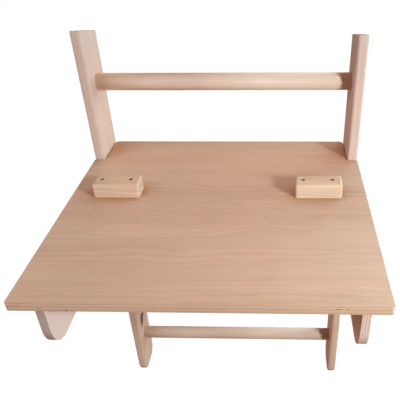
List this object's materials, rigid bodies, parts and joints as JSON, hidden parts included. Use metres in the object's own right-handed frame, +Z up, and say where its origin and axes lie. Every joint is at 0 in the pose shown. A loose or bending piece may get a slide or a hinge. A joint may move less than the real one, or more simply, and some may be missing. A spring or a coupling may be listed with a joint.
{
  "type": "slant board",
  "caption": "Ladder-type wooden frame with a notched plywood deck that hooks on a rung, side cheeks that bear on the rung below, and two screwed stop blocks.",
  "frame": {"origin": "on the floor plane under the feet, at the centre of the footprint: midway between the stiles, and midway between the deck's front edge and the frame's back plane", "axes": "+X to the right across the frame, +Y from the deck's front edge towards the ladder frame, +Z up along the stiles"},
  "size_m": [0.6, 0.624, 0.985],
  "materials": {
    "beech_frame": "satin lacquered solid beech",
    "beech_rung": "satin lacquered turned beech",
    "plywood_deck": "satin lacquered beech plywood",
    "plywood_cheek": "satin lacquered beech plywood",
    "pale_block": "satin lacquered solid wood",
    "beech_hidden": "planed solid beech",
    "dark_screw": "dark phosphated steel",
    "zinc_screw": "zinc plated steel"
  },
  "bodies": {
    "frame": {"stile_left": "beech_frame", "stile_right": "beech_frame", "rung_1": "beech_rung", "rung_2": "beech_rung", "rung_3": "beech_rung", "rung_4": "beech_rung", "rung_5": "beech_rung", "rung_screws_left": "zinc_screw", "rung_screws_right": "zinc_screw"},
    "deck": {"deck_board": "plywood_deck", "cheek_left": "plywood_cheek", "cheek_right": "plywood_cheek", "stop_block_left": "pale_block", "stop_block_right": "pale_block", "block_screws_left": "dark_screw", "block_screws_right": "dark_screw", "batten_left": "beech_hidden", "batten_right": "beech_hidden", "batten_screws_left": "zinc_screw", "batten_screws_right": "zinc_screw", "hook_rail": "beech_hidden", "hook_rail_screws": "zinc_screw"}
  },
  "joints": [
    {"name": "deck_lift", "type": "slide", "parent": "frame", "child": "deck", "axis": [0, 0, 1], "range_m": [0, 0.12]}
  ]
}
